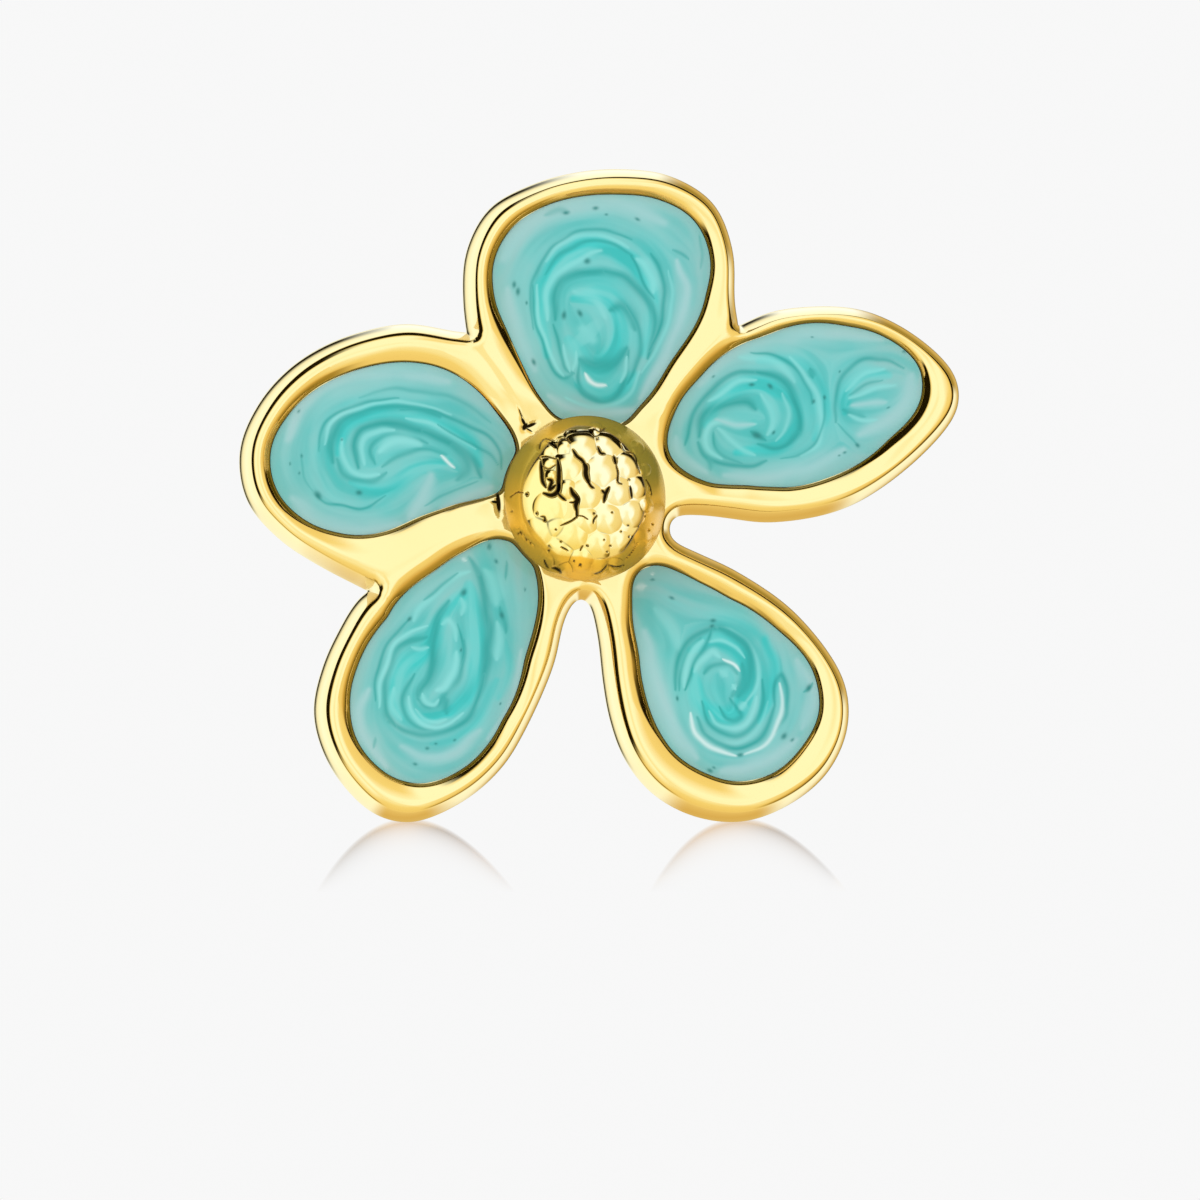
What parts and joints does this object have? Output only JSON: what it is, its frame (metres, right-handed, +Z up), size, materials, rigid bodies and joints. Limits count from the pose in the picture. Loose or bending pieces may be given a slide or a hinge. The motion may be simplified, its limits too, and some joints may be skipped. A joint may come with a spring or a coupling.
{
  "type": "flower stud earring",
  "caption": "Stud earring shaped as an open flower: marbled enamel petals in polished metal rims round a pebbled metal dome, with a straight ear post behind.",
  "frame": {"origin": "centre of the object's box, on the surface it rests on, as it lies leaning back on its lower petals and the tip of its post", "axes": "+X across the flower towards its right as seen from the front, -Y towards the viewer of its face, +Z up; the face looks forward and up, leaning back by 38 degrees"},
  "size_m": [0.02, 0.0152, 0.0149],
  "materials": {
    "polished_gold": "mirror polished yellow gold plating",
    "marbled_enamel": "glossy turquoise enamel marbled with paler and deeper swirls",
    "pebbled_gold": "polished yellow gold plating over a pebbled nugget surface",
    "post_gold": "drawn wire, polished yellow gold plating"
  },
  "bodies": {
    "root": {"flower_frame": "polished_gold", "enamel_top": "marbled_enamel", "enamel_right": "marbled_enamel", "enamel_left": "marbled_enamel", "enamel_lower_left": "marbled_enamel", "enamel_lower_right": "marbled_enamel", "centre_dome": "pebbled_gold", "ear_post": "post_gold"}
  },
  "joints": []
}
